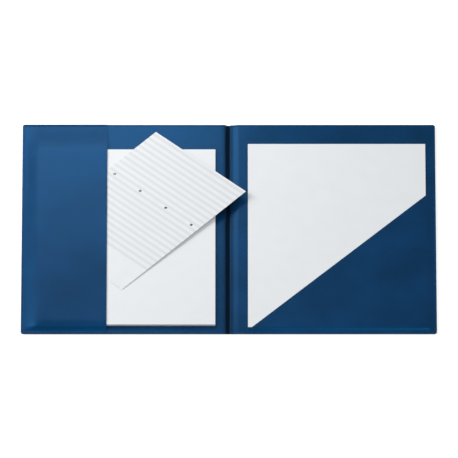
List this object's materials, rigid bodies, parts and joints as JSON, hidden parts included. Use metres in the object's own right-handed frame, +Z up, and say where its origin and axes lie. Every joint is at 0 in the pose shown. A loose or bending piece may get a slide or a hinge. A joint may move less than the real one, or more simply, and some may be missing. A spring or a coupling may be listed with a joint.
{
  "type": "document folder",
  "caption": "Open two-cover document folder in welded plastic film, with a flap over a pad, a loose ruled sheet and plain sheets behind a diagonal pocket.",
  "frame": {"origin": "middle of the open folder, on the surface it lies on", "axes": "+X from the front cover to the back cover, +Y towards the head of the pages, +Z up out of the inside of the folder"},
  "size_m": [0.4886, 0.3384, 0.0108],
  "materials": {
    "outer_film": "satin",
    "lining_film": "satin",
    "pocket_film": "satin",
    "greyboard": "matte",
    "writing_paper": "matte",
    "label_card": "matte",
    "clear_film": "gloss"
  },
  "bodies": {
    "back_cover": {"back_outer_film": "outer_film", "back_cover_board": "greyboard", "back_lining_film": "lining_film", "pocket_sheets": "writing_paper", "diagonal_pocket": "pocket_film"},
    "spine": {"spine_outer_film": "outer_film", "spine_strip": "greyboard", "spine_lining_film": "lining_film"},
    "front_cover": {"front_outer_film": "outer_film", "front_cover_board": "greyboard", "front_lining_film": "lining_film", "label_window": "clear_film", "label_card": "label_card", "pad_back_board": "greyboard", "pad_sheets": "writing_paper", "flap_pocket": "pocket_film", "ruled_sheet": "writing_paper"}
  },
  "joints": [
    {"name": "spine_hinge", "type": "hinge", "parent": "back_cover", "child": "spine", "pos_m": [0.0079, 0, 0.0002], "axis": [0, 1, 0], "range_deg": [0, 90]},
    {"name": "cover_hinge", "type": "hinge", "parent": "spine", "child": "front_cover", "pos_m": [-0.0079, 0, 0.0002], "axis": [0, 1, 0], "range_deg": [0, 90], "deforming": ["ruled_sheet"]}
  ],
  "couplings": [
    {"joint": "spine_hinge", "follows": "cover_hinge", "ratio": 1}
  ]
}
